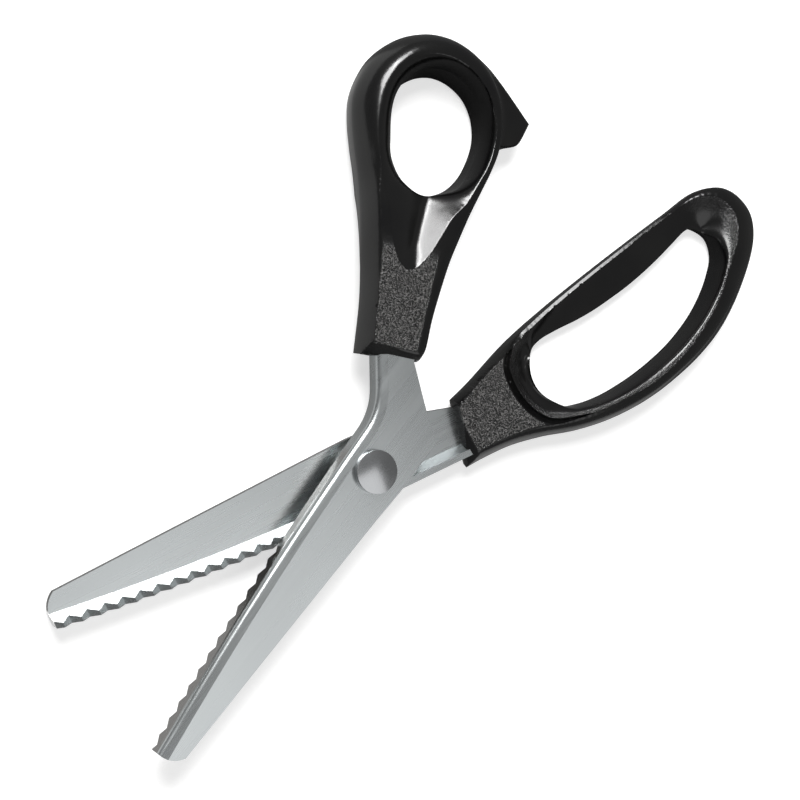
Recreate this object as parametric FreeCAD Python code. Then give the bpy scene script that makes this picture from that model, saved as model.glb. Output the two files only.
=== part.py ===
import FreeCAD, Part
import math
import os

from FreeCAD import Base

# Pinking shears of the 240 mm (9.5 inch) class, lying open on a table.
# Millimetres. The pivot axis is Z, the table is z = 0 and the closed shears point along +Y.
# Each half is drawn in its closed position and then turned open about the pivot.

V = Base.Vector
ORIGIN = V(0, 0, 0)
Z_AXIS = V(0, 0, 1)

# --- driving dimensions -------------------------------------------------------------
OPEN_DEG = 25.6            # angle between the halves in the rest position
BLADE_LENGTH = 93.5        # pivot axis to blade tip
PLATE_T = 1.8              # blade sheet
RIM_HEIGHT = 3.8           # inside face of the plate to the mating plane
MATE_Z = 7.8               # height of the plane where the toothed edges meet
CUT_GAP = 0.3              # clearance between the two cutting profiles, along Z

TOOTH_PITCH = 4.8
TOOTH_DEPTH = 2.1
FIRST_TOOTH_R = 31.7       # radius of the first tooth
TOOTH_COUNT = 13

HEEL_X, HEEL_Y = 9.6, -7.0       # outer cutting edge at the pivot end
BELLY_Y = 43.5                   # height along the blade of its mid point
THUMB_BELLY_X, THUMB_TIP_X = 5.5, -0.8      # outer cutting edge at mid blade and tip
FINGER_BELLY_X, FINGER_TIP_X = 6.8, 0.8
CREASE_OUT = 3.2           # cutting edge to the crease on the outer face
CREASE_IN = 3.5            # cutting edge to the crease on the inner face
THUMB_BEND_R = 17.0              # bend of the thumb shank
THUMB_BEND_DEG = 39.0
THUMB_TANG = 25.0                # straight shank and tang after the bend
FINGER_TANG = 39.0
PLUG_R = 2.2                     # hole in each tang that the moulding locks into

PIN_D = 6.0                # bolt shoulder
RUN_CLEAR = 0.05           # radial running clearance of the bush on the bolt
BUSH_D = 8.4
SPACER_D = 14.0
SPACER_FLAT = 5.4          # pivot axis to the flat that clears the cutting flange
WASHER_D = 14.0
WASHER_T = 0.6
AXIAL_GAP = 0.1
CAP_D = 12.0
CAP_H = 2.6
HEAD_D = 9.6
HEAD_T = 1.2
NUT_D = 12.5

THUMB_FRONT = 16.0         # front face of the thumb handle
THUMB_BACK = 7.0           # back face of its ferrule
FINGER_FRONT = 10.2        # front face of the finger loop
FERRULE_FRONT = 9.0        # front face of the finger ferrule
STOP_TOP = 8.6             # front face of the closing stop
THUMB_FRONT_BEVEL = (2.6, 2.2)     # height and inset of each outer bevel
THUMB_BACK_BEVEL = (7.0, 3.2)
FINGER_FRONT_BEVEL = (2.2, 2.2)
FINGER_BACK_BEVEL = (5.0, 2.4)
STOP_BEVEL = (0.8, 0.8)


def prism(wire, z0, z1):
    face = Part.Face(wire)
    face.translate(V(0, 0, z0))
    return face.extrude(V(0, 0, z1 - z0))


def polyline(points):
    ends = [V(x, y, 0) for x, y in points]
    return [Part.LineSegment(a, b).toShape() for a, b in zip(ends, ends[1:])]


def spline_edge(points):
    curve = Part.BSplineCurve()
    curve.interpolate([V(x, y, 0) for x, y in points])
    return curve.toShape()


def loop_wire(points, z=0.0):
    curve = Part.BSplineCurve()
    curve.interpolate([V(x, y, z) for x, y in points], PeriodicFlag=True)
    return Part.Wire([curve.toShape()])


def ring(d_out, d_in, z0, z1):
    body = Part.makeCylinder(d_out / 2, z1 - z0, V(0, 0, z0))
    return body.cut(Part.makeCylinder(d_in / 2, z1 - z0, V(0, 0, z0)))


# --- blades -------------------------------------------------------------------------
# A blade is drawn with its outer face up, its mating plane at z = 0 and its teeth on +X.

class CuttingEdge:
    """Outer edge line of a blade: long arc, optional bend, straight shank."""

    def __init__(self, tip_x, belly_x, bend_deg, tang):
        tip = V(tip_x, BLADE_LENGTH, 0)
        belly = V(belly_x, BELLY_Y, 0)
        self.heel = V(HEEL_X, HEEL_Y, 0)
        arc = Part.Arc(tip, belly, self.heel).toShape().Curve
        self.centre = arc.Center
        self.radius = arc.Radius
        self.tip = tip
        self.bend = math.radians(bend_deg)
        self.tang = tang
        out = (self.heel - self.centre).normalize()
        self.normal = out
        self.along = V(out.y, -out.x, 0)

    def shifted(self, inset, overrun=0.0):
        """Edges of the line moved inward by inset, lengthened at the tip by overrun."""
        r = self.radius - inset
        a0 = math.atan2(self.tip.y - self.centre.y, self.tip.x - self.centre.x)
        a1 = math.atan2(self.heel.y - self.centre.y, self.heel.x - self.centre.x)
        a0 += overrun / r

        def on_arc(a):
            return self.centre + V(math.cos(a), math.sin(a), 0) * r

        edges = [Part.Arc(on_arc(a0), on_arc((a0 + a1) / 2), on_arc(a1)).toShape()]
        start = on_arc(a1)
        along = self.along
        if self.bend:
            rb = THUMB_BEND_R + inset
            hub = self.heel + self.normal * THUMB_BEND_R
            pts = [start]
            for share in (0.5, 1.0):
                a = self.bend * share
                arm = self.normal * -math.cos(a) + self.along * math.sin(a)
                pts.append(hub + arm * rb)
            edges.append(Part.Arc(*pts).toShape())
            start = pts[2]
            along = self.along * math.cos(self.bend) + self.normal * math.sin(self.bend)
        end = start + along * self.tang
        edges.append(Part.LineSegment(start, end).toShape())
        return edges, end


def flange(edge):
    """Cutting flange, a rolled outer corner over an upright wall, swept along the edge."""
    edges, _ = edge.shifted(0.0, 2.0)
    path = Part.Wire(edges)
    start = path.OrderedVertexes[0].Point
    inward = (edge.centre - start).normalize()
    top = RIM_HEIGHT + PLATE_T
    low = -TOOTH_DEPTH
    lap = CREASE_IN + 1.5

    def at(u, v):
        return start + inward * u + Z_AXIS * v

    outline = [
        Part.LineSegment(at(0.0, low), at(0.1, 3.2)).toShape(),
        Part.Arc(at(0.1, 3.2), at(0.45, 4.55), at(1.5, 5.2)).toShape(),
        Part.LineSegment(at(1.5, 5.2), at(CREASE_OUT, top)).toShape(),
        Part.LineSegment(at(CREASE_OUT, top), at(lap, top)).toShape(),
        Part.LineSegment(at(lap, top), at(lap, RIM_HEIGHT)).toShape(),
        Part.LineSegment(at(lap, RIM_HEIGHT), at(CREASE_IN, RIM_HEIGHT)).toShape(),
        Part.LineSegment(at(CREASE_IN, RIM_HEIGHT), at(0.8, low)).toShape(),
        Part.LineSegment(at(0.8, low), at(0.0, low)).toShape(),
    ]
    return path.makePipeShell([Part.Wire(outline)], True, True)


def below_cut(sign):
    """Everything under the zigzag z = f(radius), so both blades mesh at every angle."""
    half = TOOTH_DEPTH / 2
    step = TOOTH_PITCH / 2
    low = CUT_GAP / 2
    r = FIRST_TOOTH_R
    pts = [(0.0, -9.0), (0.0, low), (r - step / 2, low)]
    for k in range(2 * TOOTH_COUNT + 1):
        side = -1 if k % 2 == 0 else 1
        pts.append((r, low + sign * side * half))
        r += step
    pts += [(110.0, low), (110.0, -9.0)]
    wire = Part.makePolygon([V(x, 0, z) for x, z in pts + pts[:1]])
    toothed = Part.Face(wire).revolve(ORIGIN, Z_AXIS, 180)
    shank = Part.makeBox(220, 110, 9.0 + low, V(-110, -110, -9.0))
    return [toothed, shank]


def blade(edge, spine, sign, bore_d, plug):
    edges, end = edge.shifted(CREASE_IN + 0.5, 2.0)
    first = edges[0].Vertexes[0].Point
    back = [V(x, y, 0) for x, y in spine]
    sides = [Part.LineSegment(a, b).toShape() for a, b in zip([end] + back, back + [first])]
    plate = prism(Part.Wire(edges + sides), RIM_HEIGHT, RIM_HEIGHT + PLATE_T)
    body = plate.fuse(flange(edge)).removeSplitter()
    length = BLADE_LENGTH
    nose = polyline([(-7.7, length - 3.6), (-40, length - 3.6), (-40, -90), (60, -90),
                     (60, length), (-1.6, length)])
    nose.append(Part.Arc(V(-1.6, length, 0), V(-5.2, length - 1.0, 0),
                         V(-7.7, length - 3.6, 0)).toShape())
    body = body.common(prism(Part.Wire(nose), -5, 10))
    for piece in below_cut(sign):
        body = body.cut(piece)
    body = body.cut(Part.makeCylinder(bore_d / 2, 20, V(0, 0, -5)))
    body = body.cut(Part.makeCylinder(PLUG_R, 20, V(plug[0], plug[1], -5)))
    return body.removeSplitter()


thumb_spine = [(17.6, -43.0), (10.7, -30.1), (-1.2, -22.5), (-9.0, -18.0), (-9.9, -5.8),
               (-9.3, 9.0), (-8.2, 60.0), (-7.5, BLADE_LENGTH + 2)]
finger_spine = [(-2.0, -46.5), (-3.5, -34.1), (-6.0, -25.2), (-8.6, -9.0), (-9.2, 0.0),
                (-9.1, 9.0), (-8.2, 60.0), (-7.5, BLADE_LENGTH + 2)]
thumb_blade = blade(CuttingEdge(THUMB_TIP_X, THUMB_BELLY_X, THUMB_BEND_DEG, THUMB_TANG),
                    thumb_spine, 1, BUSH_D, (17.8, -34.6))
thumb_blade.translate(V(0, 0, MATE_Z))
finger_blade = blade(CuttingEdge(FINGER_TIP_X, FINGER_BELLY_X, 0.0, FINGER_TANG),
                     finger_spine, -1, PIN_D, (0.8, -39.0))
finger_blade.rotate(ORIGIN, V(0, 1, 0), 180)
finger_blade.translate(V(0, 0, MATE_Z))
thumb_inner = MATE_Z + RIM_HEIGHT
thumb_outer = thumb_inner + PLATE_T
finger_inner = MATE_Z - RIM_HEIGHT
finger_outer = finger_inner - PLATE_T


# --- handles ------------------------------------------------------------------------

def chamfered(wire, z0, z1, back, front):
    """Prism with its outer edges bevelled; a bevel is (height, inset) or None."""
    body = prism(wire, z0, z1)
    for z, bevel in ((z0, back), (z1, front)):
        rim = [e for e in body.Edges
               if abs(e.BoundBox.ZMin - z) < 1e-4 and abs(e.BoundBox.ZMax - z) < 1e-4]
        if bevel:
            body = body.makeChamfer(bevel[0], bevel[1], rim)
    return body


def funnel(stations):
    """Hole through a loop, lofted through (height, points) stations."""
    return Part.makeLoft([loop_wire(pts, z) for z, pts in stations], True, False)


def ellipse_points(cx, cy, a, b, turn_deg, count=12):
    t = math.radians(turn_deg)
    out = []
    for k in range(count):
        w = 2 * math.pi * k / count
        x, y = a * math.cos(w), b * math.sin(w)
        out.append((cx + x * math.cos(t) - y * math.sin(t), cy + x * math.sin(t) + y * math.cos(t)))
    return out


def outlined(points):
    """Closed outline: a smooth run through the points and a straight ferrule end."""
    first, last = points[0], points[-1]
    return Part.Wire([spline_edge(points)] + polyline([last, first]))


# Thumb handle: thick loop lying on the table, thinner ferrule raised to its blade.
thumb_outline = [(23.1, -21.6), (33.6, -35.0), (48.2, -50.4), (58.5, -60.6), (67.4, -69.6),
                 (72.0, -77.5), (73.0, -87.0), (70.3, -96.0), (63.5, -103.2), (54.0, -106.6),
                 (43.5, -105.2), (34.5, -99.0), (28.6, -89.0), (25.0, -75.5), (22.4, -64.3),
                 (16.6, -49.0), (9.6, -31.4)]
stop_outline = [(60.0, -104.8), (52.7, -108.4), (44.5, -109.4), (25.9, -107.9), (24.5, -97.2),
                (27.6, -93.6), (44.0, -92.0)]
LOOP_X, LOOP_Y = 45.6, -82.0
THUMB_TURN = 41.0
thumb_axis = V(0.5, -0.866, 0).normalize()
thumb_across = V(0.866, 0.5, 0).normalize()

thumb_handle = chamfered(outlined(thumb_outline), 0, THUMB_FRONT, THUMB_BACK_BEVEL,
                         THUMB_FRONT_BEVEL)
ramp = [(-8, -1), (-8, THUMB_BACK), (22, THUMB_BACK), (42, 0.0), (42, -1)]
ferrule_mid = V(16.8, -27.4, 0)
rear = [ferrule_mid + thumb_axis * s + Z_AXIS * z - thumb_across * 40 for s, z in ramp]
rear_cut = Part.Face(Part.makePolygon(rear + rear[:1])).extrude(thumb_across * 80)
thumb_handle = thumb_handle.cut(rear_cut)
stop = chamfered(Part.Wire(polyline(stop_outline + stop_outline[:1])), 0, STOP_TOP, None, STOP_BEVEL)
thumb_handle = thumb_handle.fuse(stop)
thumb_hole = funnel([
    (-0.2, ellipse_points(LOOP_X - 0.4, LOOP_Y - 0.8, 15.6, 17.8, THUMB_TURN)),
    (4.5, ellipse_points(LOOP_X, LOOP_Y, 14.3, 16.9, THUMB_TURN)),
    (10.0, ellipse_points(LOOP_X + 0.6, LOOP_Y + 0.6, 15.2, 17.4, THUMB_TURN)),
    (THUMB_FRONT + 0.2, ellipse_points(LOOP_X + 2.0, LOOP_Y + 1.8, 17.4, 18.9, THUMB_TURN))])
thumb_handle = thumb_handle.cut(thumb_hole)
scoop = Part.makeSphere(1.0)
stretch = Base.Matrix()
stretch.scale(24.0, 10.0, 9.0)
scoop = scoop.transformGeometry(stretch)
scoop.rotate(ORIGIN, Z_AXIS, 116.0)
scoop.translate(V(38.6, -67.2, THUMB_FRONT + 1.0))
thumb_handle = thumb_handle.cut(scoop)
thumb_handle = thumb_handle.cut(thumb_blade).removeSplitter()

# Finger handle: long loop with a raised collar round the near end of the hole.
finger_outline = [(6.1, -33.1), (14.4, -55.6), (19.1, -73.2), (22.8, -90.8), (27.4, -117.4),
                  (29.7, -135.5), (27.2, -143.0), (20.6, -147.4), (12.3, -147.6), (3.6, -141.8),
                  (-5.0, -132.4), (-15.2, -115.2), (-19.8, -96.3), (-20.2, -81.3),
                  (-18.0, -66.5), (-13.9, -48.5), (-13.1, -29.9)]
hole_back = [(20.3, -126.8), (16.0, -132.4), (9.2, -133.3), (1.8, -127.6), (-4.2, -119.8),
             (-9.2, -109.2), (-12.3, -97.4), (-13.6, -84.0), (-12.8, -73.0), (-9.6, -65.2),
             (-3.6, -60.7), (3.2, -60.2), (8.8, -64.8), (10.9, -74.5), (11.6, -87.0),
             (13.7, -100.3), (16.6, -112.0)]
hole_front = [(22.8, -128.4), (17.0, -135.2), (8.3, -135.9), (0.4, -129.3), (-5.9, -120.9),
              (-11.0, -109.9), (-14.2, -97.8), (-15.5, -84.0), (-14.3, -72.2), (-10.6, -63.2),
              (-3.8, -57.6), (3.9, -56.5), (10.4, -61.6), (14.2, -73.0), (16.6, -86.5),
              (19.0, -100.0), (21.2, -112.0)]
collar = [(26.0, -64.0), (14.1, -54.8), (6.6, -52.1), (-2.0, -52.6), (-8.2, -55.8),
          (-13.2, -61.5), (-24.0, -76.0)]

finger_handle = chamfered(outlined(finger_outline), 0, FINGER_FRONT, FINGER_BACK_BEVEL,
                          FINGER_FRONT_BEVEL)
mouth = funnel([(-0.2, hole_back), (3.5, hole_back), (FINGER_FRONT + 0.2, hole_front)])
finger_handle = finger_handle.cut(mouth)
step = Part.Wire([spline_edge(collar)] + polyline([collar[-1], (-24, -20), (26, -20), collar[0]]))
finger_handle = finger_handle.cut(prism(step, FERRULE_FRONT, FINGER_FRONT + 1))
finger_handle = finger_handle.cut(finger_blade).removeSplitter()

# --- pivot --------------------------------------------------------------------------
# The bolt and everything clamped to it stay with the finger half.
flat = Part.makeBox(10, 20, 20, V(SPACER_FLAT, -10, 0))
flat_back = Part.makeBox(10, 20, 20, V(-SPACER_FLAT - 10, -10, 0))
finger_spacer = ring(SPACER_D, PIN_D, finger_inner, MATE_Z - WASHER_T / 2).cut(flat_back)
thrust_washer = ring(WASHER_D, PIN_D, MATE_Z - WASHER_T / 2, MATE_Z + WASHER_T / 2)
turning_z = MATE_Z + WASHER_T / 2 + AXIAL_GAP
thumb_spacer = ring(SPACER_D, BUSH_D, turning_z, thumb_inner).cut(flat)
pivot_bush = ring(BUSH_D, PIN_D + 2 * RUN_CLEAR, turning_z, thumb_outer)
head_z = thumb_outer + 0.6
spring_washer = ring(HEAD_D - 0.4, PIN_D, thumb_outer + AXIAL_GAP, head_z)

shank = Part.makeCylinder(PIN_D / 2, head_z, V(0, 0, 0))
head = Part.makeCylinder(HEAD_D / 2, HEAD_T, V(0, 0, head_z))
pivot_bolt = shank.fuse(head).removeSplitter()

cap_z = thumb_outer + AXIAL_GAP
cap = Part.makeCylinder(CAP_D / 2, CAP_H, V(0, 0, cap_z))
crown = cap.makeFillet(1.1, [e for e in cap.Edges if e.BoundBox.ZMin > cap_z + CAP_H - 0.01])
dome_r = 26.0
dome = Part.makeSphere(dome_r, V(0, 0, cap_z + CAP_H - dome_r))
crown = crown.common(dome)
pocket = Part.makeCylinder(HEAD_D / 2, head_z + HEAD_T - cap_z, V(0, 0, cap_z))
pivot_cap = crown.cut(pocket)

nut = ring(NUT_D, PIN_D, 0.0, finger_outer)
rim = [e for e in nut.Edges if e.BoundBox.ZMax < 0.01 and e.Length > 3.2 * PIN_D]
nut = nut.makeChamfer(0.6, rim)
for side in (-1, 1):
    nut = nut.cut(Part.makeCylinder(0.8, 1.4, V(side * 4.6, 0, 0)))
pivot_nut = nut

thumb_half = {"thumb_blade": thumb_blade, "thumb_handle": thumb_handle,
              "thumb_spacer": thumb_spacer, "pivot_bush": pivot_bush}
finger_half = {"finger_blade": finger_blade, "finger_handle": finger_handle,
               "finger_spacer": finger_spacer, "thrust_washer": thrust_washer,
               "pivot_bolt": pivot_bolt, "spring_washer": spring_washer,
               "pivot_cap": pivot_cap, "pivot_nut": pivot_nut}

os.makedirs("parts", exist_ok=True)
for half, turn in ((thumb_half, OPEN_DEG / 2), (finger_half, -OPEN_DEG / 2)):
    for name, shape in half.items():
        shape.rotate(ORIGIN, Z_AXIS, turn)
        shape.exportStep("parts/" + name + ".step")
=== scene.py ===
import bpy
import math
import numpy as np
from mathutils import Vector, Matrix
from mathutils.geometry import delaunay_2d_cdt


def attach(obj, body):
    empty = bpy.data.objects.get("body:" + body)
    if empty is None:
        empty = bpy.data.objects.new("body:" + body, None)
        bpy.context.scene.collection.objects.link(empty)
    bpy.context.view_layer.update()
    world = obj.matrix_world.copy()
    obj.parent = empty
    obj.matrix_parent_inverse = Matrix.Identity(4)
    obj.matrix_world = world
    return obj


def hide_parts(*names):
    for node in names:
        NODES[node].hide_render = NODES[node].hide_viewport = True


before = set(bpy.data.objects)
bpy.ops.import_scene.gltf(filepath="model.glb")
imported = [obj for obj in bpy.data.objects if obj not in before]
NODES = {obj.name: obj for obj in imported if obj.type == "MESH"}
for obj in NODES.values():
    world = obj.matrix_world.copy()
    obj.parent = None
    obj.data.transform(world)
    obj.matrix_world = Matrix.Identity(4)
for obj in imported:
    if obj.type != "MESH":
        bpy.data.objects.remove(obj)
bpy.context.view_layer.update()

# Handle sizes are in millimetres, in a half's closed position. Blender's are in metres.
MM = 0.001
HALF_OPEN = math.radians(12.8)      # each half is drawn closed, then turned open about the pivot

# --- camera ---------------------------------------------------------------------------
IMAGE_SIDE = 800
FOCAL_PIXELS = 1700
SENSOR_MM = 36.0
CAMERA_AIM = Vector((0.01166, -0.01689, 0.015))
CAMERA_DISTANCE = 0.46112
CAMERA_TILT = math.radians(25.89)       # away from straight above
CAMERA_BEARING = math.radians(48.30)    # side the camera leans to, from +X
UP_BEARING = math.radians(-35.74)       # direction on the table that is up in the view


def make_camera():
    """Makes the camera, and returns the view's right, up and backward directions."""
    data = bpy.data.cameras.new("camera")
    data.sensor_width = SENSOR_MM
    data.lens = SENSOR_MM * FOCAL_PIXELS / IMAGE_SIDE
    data.clip_start = 0.01
    data.clip_end = 20.0
    cam = bpy.data.objects.new("camera", data)
    bpy.context.scene.collection.objects.link(cam)
    lean = math.sin(CAMERA_TILT)
    back = Vector((lean * math.cos(CAMERA_BEARING), lean * math.sin(CAMERA_BEARING),
                   math.cos(CAMERA_TILT)))
    hint = Vector((math.cos(UP_BEARING), math.sin(UP_BEARING), 0.0))
    up = (hint - back * hint.dot(back)).normalized()
    right = up.cross(back)
    turn = Matrix((right, up, back)).transposed()
    cam.matrix_world = Matrix.Translation(CAMERA_AIM + back * CAMERA_DISTANCE) @ turn.to_4x4()
    bpy.context.scene.camera = cam
    return right, up, back


VIEW_RIGHT, VIEW_UP, VIEW_BACK = make_camera()


# --- plan curves and distances --------------------------------------------------------
NEAREST_BATCH = 1500                # points measured at once, to spare memory
STEP = 0.7                          # between points along a plan curve


def catmull(points, step, closed):
    """Smooth run through the points, as evenly spaced points about step apart."""
    p = np.array(points, float)
    n = len(p)
    out = []
    for i in range(n if closed else n - 1):
        if closed:
            a, b, c, d = p[(i - 1) % n], p[i], p[(i + 1) % n], p[(i + 2) % n]
        else:
            b, c = p[i], p[i + 1]
            a = p[i - 1] if i else 2 * b - c
            d = p[i + 2] if i + 2 < n else 2 * c - b
        count = max(2, int(math.ceil(np.linalg.norm((c - b)[:2]) / step)))
        t = (np.arange(count) / count)[:, None]
        out.append(0.5 * (2 * b + (c - a) * t + (2 * a - 5 * b + 4 * c - d) * t ** 2
                          + (3 * b - a - 3 * c + d) * t ** 3))
    if not closed:
        out.append(p[-1:])
    return np.vstack(out)


def straight(a, b, step):
    """Evenly spaced points from a towards b, without b itself."""
    a, b = np.array(a, float), np.array(b, float)
    count = max(1, int(math.ceil(np.linalg.norm(b - a) / step)))
    t = (np.arange(count) / count)[:, None]
    return a + (b - a) * t


def nearest(points, line, closed=True):
    """Distance from each point to a polyline, and where along the line it is nearest (0 to 1)."""
    if closed:
        a, b = line, np.roll(line, -1, axis=0)
    else:
        a, b = line[:-1], line[1:]
    ab = (b - a)[:, :2]
    length = np.linalg.norm(ab, axis=1)
    start = np.concatenate([[0.0], np.cumsum(length)])
    best = np.zeros(len(points))
    where = np.zeros(len(points))
    for lo in range(0, len(points), NEAREST_BATCH):
        batch = slice(lo, lo + NEAREST_BATCH)
        q = points[batch, None, :2] - a[None, :, :2]
        t = np.clip((q * ab).sum(2) / np.maximum(length ** 2, 1e-12), 0, 1)
        gap = np.linalg.norm(q - t[:, :, None] * ab, axis=2)
        k = gap.argmin(1)
        rows = np.arange(len(k))
        best[batch] = gap[rows, k]
        where[batch] = (start[k] + t[rows, k] * length[k]) / start[-1]
    return best, where


def inside(points, line):
    """Even-odd test of points against a closed polyline."""
    x, y = points[:, 0], points[:, 1]
    hit = np.zeros(len(points), bool)
    nxt = np.roll(line, -1, axis=0)
    for (x0, y0), (x1, y1) in zip(line[:, :2], nxt[:, :2]):
        if (y0 > y1) == (y0 < y1):
            continue
        cross = (y0 > y) != (y1 > y)
        hit ^= cross & (x < (x1 - x0) * (y - y0) / (y1 - y0) + x0)
    return hit


def smooth(t):
    """Rises 0 to 1, level at both ends."""
    t = np.clip(t, 0.0, 1.0)
    return t * t * (3 - 2 * t)


def lookup(where, stops):
    """Value at each place, straight between (place, value) stops."""
    places, values = zip(*stops)
    return np.interp(where, places, values)


def share(a, b):
    """Part of the way across a band, from its first side, with distances a and b to its sides."""
    return a / np.maximum(a + b, 1e-6)


def soft_min(a, b, r):
    """Lower of two heights, rounded where they meet over about r."""
    h = np.clip(0.5 + 0.5 * (b - a) / r, 0.0, 1.0)
    return b + (a - b) * h - r * h * (1 - h)


def ridge_height(xy, ridge):
    """Height spread smoothly from the points of a crest line."""
    pts = ridge[::3]
    gap = ((xy[:, None, :] - pts[None, :, :2]) ** 2).sum(2)
    w = 1.0 / (gap + 1.0) ** 2
    return (w * pts[None, :, 2]).sum(1) / w.sum(1)


def swell(t, power):
    """Rises 0 to 1, upright at the start and level at the end; a higher power is squarer."""
    return (1 - (1 - np.clip(t, 0, 1)) ** power) ** (1 / power)


def corner_line(*runs):
    """Line of smooth runs that meet at corners, without its last point."""
    return np.vstack([catmull(run, STEP, False)[:-1] for run in runs])


# --- moulded shells -------------------------------------------------------------------
POINT_PITCH = 0.11                  # least gap between two points of the plan
BORDER_CLEAR = 0.09                 # least gap between a plan point and an outline
CREST_CLEAR = 0.25                  # least gap between a border ring and a crest line
GRID_PITCH = 0.95                   # between the points that fill the rest
GRID_CLEAR = 0.7                    # least gap from the grid to an outline, in grid pitches
ROW_PITCH = 0.866                   # between rows of the grid, in grid pitches
RING_KEEP = 0.97                    # part of its distance that a ring point keeps from the line
MERGE = 1e-5                        # plan points nearer than this become one
WALL_STEPS = 3                      # bands of faces between the front and the back
SHARP_ANGLE = math.radians(50)


def offset_ring(line, d, sign):
    """Closed line moved sideways by d; sign 1 moves an anticlockwise line inward."""
    nxt, prv = np.roll(line, -1, axis=0), np.roll(line, 1, axis=0)
    t = (nxt - prv)[:, :2]
    t /= np.linalg.norm(t, axis=1)[:, None]
    n = np.column_stack([-t[:, 1], t[:, 0]]) * sign
    moved = line[:, :2] + n * d
    gap, _ = nearest(moved, line)
    return moved[gap > d * RING_KEEP]


def area(line):
    """Signed area inside a closed line, positive when it runs anticlockwise."""
    nxt = np.roll(line, -1, axis=0)
    return 0.5 * (line[:, 0] * nxt[:, 1] - nxt[:, 0] * line[:, 1]).sum()


def thin(points, pitch):
    """Drops points that are nearer than pitch to one kept before, on a grid."""
    keep, seen = [], {}
    for i, (x, y) in enumerate(points):
        cx, cy = int(math.floor(x / pitch)), int(math.floor(y / pitch))
        near = False
        for gx in (cx - 1, cx, cx + 1):
            for gy in (cy - 1, cy, cy + 1):
                for j in seen.get((gx, gy), ()):
                    if (points[j][0] - x) ** 2 + (points[j][1] - y) ** 2 < pitch * pitch:
                        near = True
        if not near:
            seen.setdefault((cx, cy), []).append(i)
            keep.append(i)
    return points[keep]


def plan_points(outline, hole, rings, guides):
    """Points inside the plan: along the crest lines, round the borders and on a grid.

    guides holds (crest line, sideways gaps) pairs. rings holds distances inward from the
    outline, and then distances outward from the hole.
    """
    free = []
    for line, gaps in guides:
        t = np.gradient(line[:, :2], axis=0)
        t /= np.linalg.norm(t, axis=1)[:, None]
        n = np.column_stack([-t[:, 1], t[:, 0]])
        for d in gaps:
            free.append(line[:, :2] + n * d)
    border = [offset_ring(outline, d, 1) for d in rings[0]]
    border += [offset_ring(hole, d, -1) for d in rings[1]]
    border = np.vstack(border)
    for line, _ in guides:
        border = border[nearest(border, line, closed=False)[0] > CREST_CLEAR]
    lo, hi = outline.min(0) - 1, outline.max(0) + 1
    ys = np.arange(lo[1], hi[1], GRID_PITCH * ROW_PITCH)
    grid = [(x + (k % 2) * GRID_PITCH / 2, y) for k, y in enumerate(ys)
            for x in np.arange(lo[0], hi[0], GRID_PITCH)]

    def within(points, clear):
        points = points[inside(points, outline) & ~inside(points, hole)]
        ok = (nearest(points, outline)[0] > clear) & (nearest(points, hole)[0] > clear)
        return points[ok]

    dense = thin(within(np.vstack(free + [border]), BORDER_CLEAR), POINT_PITCH)
    grid = within(np.array(grid), GRID_PITCH * GRID_CLEAR)
    return thin(np.vstack([dense, grid]), POINT_PITCH)


def moulding(name, turn, outline, hole, front, back, rings, guides):
    """Shell between two height fields over one plan with a hole, as a closed mesh.

    front gives heights and grain, and back gives the places and heights under them.
    """
    if area(outline) < 0:
        outline = outline[::-1]
    if area(hole) < 0:
        hole = hole[::-1]
    n_out, n_hole = len(outline), len(hole)
    fine = plan_points(outline, hole, rings, guides)
    plan = np.vstack([outline[:, :2], hole[:, :2], fine])
    edges = [(i, (i + 1) % n_out) for i in range(n_out)]
    edges += [(n_out + i, n_out + (i + 1) % n_hole) for i in range(n_hole)]
    verts, _, faces, orig, _, _ = delaunay_2d_cdt([Vector(p) for p in plan], edges, [], 0, MERGE)
    place = {}
    for new, olds in enumerate(orig):
        for old in olds:
            place[old] = new
    xy = np.array([(v.x, v.y) for v in verts])
    tri = np.array([f for f in faces if len(f) == 3])
    mid = xy[tri].mean(1)
    tri = tri[inside(mid, outline) & ~inside(mid, hole)]
    n = len(xy)
    fz, fmask = front(xy)
    bxy, bz = back(xy)
    co = [np.column_stack([xy, fz]), np.column_stack([bxy, bz])]
    mask = [fmask, np.zeros(n)]
    polys = [tuple(t) for t in tri] + [tuple(t[::-1] + n) for t in tri]
    total = 2 * n
    for first, count in ((0, n_out), (n_out, n_hole)):
        loop = [place[first + i] for i in range(count)]
        levels = [loop]
        for k in range(1, WALL_STEPS):
            t = k / WALL_STEPS
            co.append(co[0][loop] * (1 - t) + co[1][loop] * t)
            mask.append(np.zeros(count))
            levels.append(list(range(total, total + count)))
            total += count
        levels.append([i + n for i in loop])
        for upper, lower in zip(levels, levels[1:]):
            for i in range(count):
                j = (i + 1) % count
                polys.append((upper[j], upper[i], lower[i], lower[j]))
    co = np.vstack(co)
    mask = np.concatenate(mask)
    used = np.zeros(len(co), bool)
    for p in polys:
        used[list(p)] = True
    index = np.cumsum(used) - 1
    co = co[used] * MM
    c, s = math.cos(turn), math.sin(turn)
    co[:, :2] = co[:, :2] @ np.array([[c, s], [-s, c]])
    mesh = bpy.data.meshes.new(name)
    mesh.from_pydata(co.tolist(), [], [tuple(int(index[i]) for i in p) for p in polys])
    layer = mesh.attributes.new("grain", "FLOAT", "POINT")
    layer.data.foreach_set("value", mask[used].astype(np.float32))
    mesh.validate()
    mesh.shade_smooth()
    mesh.set_sharp_from_angle(angle=SHARP_ANGLE)
    obj = bpy.data.objects.new(name, mesh)
    bpy.context.scene.collection.objects.link(obj)
    return obj


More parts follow.
